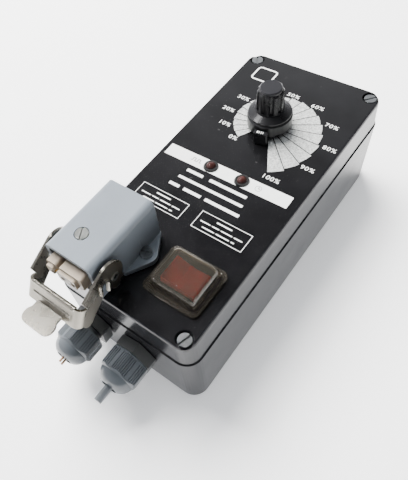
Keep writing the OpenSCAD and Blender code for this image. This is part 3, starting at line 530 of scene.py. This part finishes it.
def printed(name, polygons, material, z=INK_Z, body="case"):
    """A layer of ink on the panel, as one flat mesh."""
    mesh = bpy.data.meshes.new(name)
    verts = []
    faces = []
    for polygon in polygons:
        area = sum(a[0] * b[1] - b[0] * a[1] for a, b in zip(polygon, polygon[1:] + polygon[:1]))
        points = polygon if area > 0 else polygon[::-1]
        faces.append(range(len(verts), len(verts) + len(points)))
        verts += [(x * MM, y * MM, z * MM) for x, y in points]
    mesh.from_pydata(verts, [], faces)
    mesh.materials.append(material)
    layer = bpy.data.objects.new(name, mesh)
    bpy.context.scene.collection.objects.link(layer)
    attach(layer, body)
    return layer


# The dial's scale: a fan of wedges that grow clockwise, in mm and degrees
FAN = DIAL + Vector((-0.8, 0.3, 0))
WEDGES = 20
WEDGE_START = 240.0
WEDGE_STEP = 15.0
WEDGE_GAP = 0.45
SCALE_IN = 8.8
SCALE_OUT = 17.2


def wedge_radius(i):
    """Outer radius of a wedge, which grows a little faster with each one."""
    return SCALE_OUT + 0.42 * i + 0.0195 * i * i


def scale_wedges():
    polygons = []
    for i in range(WEDGES):
        first = WEDGE_START - WEDGE_STEP * i
        outer_r = wedge_radius(i)
        inner_gap = math.degrees(WEDGE_GAP / SCALE_IN) / 2
        outer_gap = math.degrees(WEDGE_GAP / outer_r) / 2
        outer = arc_points(FAN, outer_r, first - outer_gap, first - WEDGE_STEP + outer_gap, 5)
        inner = arc_points(FAN, SCALE_IN, first - WEDGE_STEP + inner_gap, first - inner_gap, 5)
        polygons.append(outer + inner)
    return polygons


LABEL_SIZE = 3.6
LABEL_WEIGHT = 0.008
LABEL_SPACING = 1.12
LABEL_STRETCH = 1.12
LABEL_GAP = 2.0
HALF_CHARACTER = 1.1


def label_place(i, text):
    """Middle of a number: beyond the edge of every second wedge by a gap, and sideways by half its width."""
    angle = math.radians(WEDGE_START - 2 * WEDGE_STEP * i)
    reach = wedge_radius(2 * i) + LABEL_GAP
    return (FAN.x + (reach + HALF_CHARACTER * len(text)) * math.cos(angle),
            FAN.y + reach * math.sin(angle))


def add_labels(material):
    """Numbers round the dial, as one mesh."""
    mesh = bpy.data.meshes.new("scale_numbers")
    joined = bmesh.new()
    for i in range(WEDGES // 2 + 1):
        text = f"{10 * i}%"
        x, y = label_place(i, text)
        curve = bpy.data.curves.new("number", "FONT")
        curve.body = text
        curve.size = LABEL_SIZE
        curve.offset = LABEL_WEIGHT
        curve.align_x = "CENTER"
        curve.align_y = "CENTER"
        curve.space_character = LABEL_SPACING
        glyphs = bpy.data.objects.new("number", curve)
        bpy.context.scene.collection.objects.link(glyphs)
        bpy.context.view_layer.update()
        part = glyphs.evaluated_get(bpy.context.evaluated_depsgraph_get()).to_mesh()
        for vertex in part.vertices:
            vertex.co = Vector((vertex.co.x * LABEL_STRETCH + x, vertex.co.y + y, INK_Z)) * MM
        joined.from_mesh(part)
        glyphs.evaluated_get(bpy.context.evaluated_depsgraph_get()).to_mesh_clear()
        bpy.data.objects.remove(glyphs)
    joined.to_mesh(mesh)
    joined.free()
    mesh.materials.append(material)
    layer = bpy.data.objects.new("scale_numbers", mesh)
    bpy.context.scene.collection.objects.link(layer)
    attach(layer, "case")


def word_bars(x, y, widths, height, gap):
    """A row of plain bars standing for words, centred on (x, y)."""
    total = sum(widths) + gap * (len(widths) - 1)
    left = x - total / 2
    bars = []
    for width in widths:
        bars += bar(left + width / 2, y, width, height)
        left += width + gap
    return bars


def notice(x, y, width, length):
    """An empty notice: a thin frame with one short and two long rows of bars."""
    rows = ((0.26, 0.7, (0.3,)), (-0.02, 0.55, (0.2, 0.14, 0.22, 0.16)), (-0.28, 0.55, (0.24, 0.26, 0.06)))
    lines = frame_ring(x, y, width, length, 0.15, 0.25)
    for up, height, shares in rows:
        lines += word_bars(x, y + length * up, [width * share for share in shares], height, 1.0)
    return lines


def wave_icon(x, y):
    """Square pulses: stands beside the first lamp."""
    tall = 1.8
    points = [(0, 0), (1, 0), (1, tall), (2.4, tall), (2.4, 0), (3.8, 0), (3.8, tall), (5.2, tall),
              (5.2, 0), (6.2, 0)]
    return stroke([(x + u, y + v) for u, v in points], 0.45)


def clock_icon(x, y):
    """A clock face: stands beside the second lamp."""
    face = outline_ring(rounded_outline((x, y), 3.4, 3.4, 1.69), rounded_outline((x, y), 2.9, 2.9, 1.44))
    return face + stroke([(x, y + 1.1), (x, y)], 0.4) + stroke([(x - 0.1, y), (x + 0.9, y)], 0.4)


def brake_ticks():
    """Short strokes across the top of the brake's finger lever."""
    turn = math.radians(BRAKE_TURN)
    reach = COLLAR_R + BRAKE_REACH
    x, y = DIAL.x + reach * math.cos(turn), DIAL.y + reach * math.sin(turn)
    along = (-math.sin(turn), math.cos(turn))
    ticks = []
    for i, width in enumerate((0.7, 0.35, 0.35, 0.35)):
        step = -1.6 + 0.95 * i
        ticks += bar(x + along[0] * step, y + along[1] * step, width, 1.3, BRAKE_TURN + 90)
    return ticks


def add_scale():
    printed("scale_wedges", scale_wedges(), ink_silver())


def add_lamp_strip(white):
    printed("lamp_strip", bar(LAMPS.x - 0.2, LAMPS.y - 0.2, 70.2, 7.3, 0.6), white)


def add_lamp_icons():
    icons = wave_icon(LAMPS.x - 20.8, LAMPS.y - 1.0) + clock_icon(LAMPS.x + 18.2, LAMPS.y)
    printed("lamp_icons", icons, ink_grey(), INK_Z + INK_OVER_INK)


def add_word_bars(white):
    """Three rows of bars below the lamps, where the real panel has words."""
    x = LAMPS.x - 0.8
    blocks = word_bars(x, LAMPS.y - 7.6, [9.5, 21], 1.7, 4)
    blocks += word_bars(x, LAMPS.y - 13.0, [37], 1.5, 2)
    blocks += word_bars(x, LAMPS.y - 18.6, [6, 10, 19], 1.7, 2.6)
    printed("word_bars", blocks, white)


def add_notices(white):
    left = notice(LAMPS.x - 17.7, LAMPS.y - 29.9, 27.8, 9.7)
    right = notice(LAMPS.x + 17.1, LAMPS.y - 29.5, 27.3, 10.2)
    printed("notices", left + right, white)


def add_plain_frame(white):
    """An empty rounded frame in the panel's far left corner."""
    printed("plain_frame", frame_ring(PLATE.x - 23.2, PLATE.y + 71.5, 12.4, 11, 2.2, 0.9), white)


def add_brake_ticks(white):
    printed("brake_ticks", brake_ticks(), white, high("dial_brake").z + INK_LIFT, "brake")


def add_print():
    white = ink_white()
    add_scale()
    add_labels(white)
    add_lamp_strip(white)
    add_lamp_icons()
    add_word_bars(white)
    add_notices(white)
    add_plain_frame(white)
    add_brake_ticks(white)


# Switch boot ----------------------------------------------------------------------------------------

def loft(name, rings, material, body):
    """A smooth closed skin through rings of the same number of points, in mm."""
    mesh = bpy.data.meshes.new(name)
    made = bmesh.new()
    loops = [[made.verts.new([c * MM for c in point]) for point in ring] for ring in rings]
    count = len(loops[0])
    for below, above in zip(loops, loops[1:]):
        for i in range(count):
            made.faces.new((below[i], below[(i + 1) % count], above[(i + 1) % count], above[i]))
    made.faces.new(loops[0][::-1])
    made.faces.new(loops[-1])
    bmesh.ops.recalc_face_normals(made, faces=made.faces)
    for face in made.faces:
        face.smooth = True
    made.to_mesh(mesh)
    made.free()
    mesh.materials.append(material)
    piece = bpy.data.objects.new(name, mesh)
    bpy.context.scene.collection.objects.link(piece)
    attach(piece, body)
    return piece


def add_boot():
    """Clear silicone boot: a flange with two ridges, and a pillow-shaped cap over the rocker."""
    wide, long, tall = BOOT_SIZE

    def ring(inset, z, radius):
        outline = rounded_outline((BOOT.x, BOOT.y), wide - 2 * inset, long - 1.6 * inset, radius, 10)
        return [(x, y, PANEL_Z + z) for x, y in outline]

    inside = [ring(5.6, tall - 0.9, 1.6), ring(4.7, tall - 1.05, 2.0), ring(4.1, tall - 1.9, 2.2),
              ring(3.3, 3.4, 2.4), ring(3.1, 2.0, 2.4), ring(2.6, 1.75, 2.0), ring(2.6, 0.02, 2.0)]
    outside = [ring(0.2, 0.02, 2.8), ring(0.0, 0.3, 3.0), ring(0.0, 1.2, 3.0), ring(0.25, 1.75, 2.9),
               ring(0.7, 1.85, 2.8), ring(1.0, 1.35, 2.6), ring(1.25, 1.35, 2.5), ring(1.5, 1.95, 2.4),
               ring(1.85, 2.0, 2.4), ring(2.05, 1.6, 2.3), ring(2.25, 1.8, 2.4), ring(2.3, 2.8, 2.6),
               ring(2.55, 4.4, 2.8), ring(3.05, 6.2, 2.8), ring(3.5, 7.3, 2.6), ring(4.0, 7.9, 2.4),
               ring(4.6, 8.12, 2.2), ring(5.6, 8.18, 1.8)]
    boot = loft("clear_boot", inside + outside, boot_silicone(), "case")
    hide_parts("switch_boot")


add_camera()
add_world()
add_floor()
add_key_light()
add_sparkle_light()
add_top_light()
dress_case()
dress_metals()
dress_mouldings()
dress_circuit()
add_print()
add_boot()
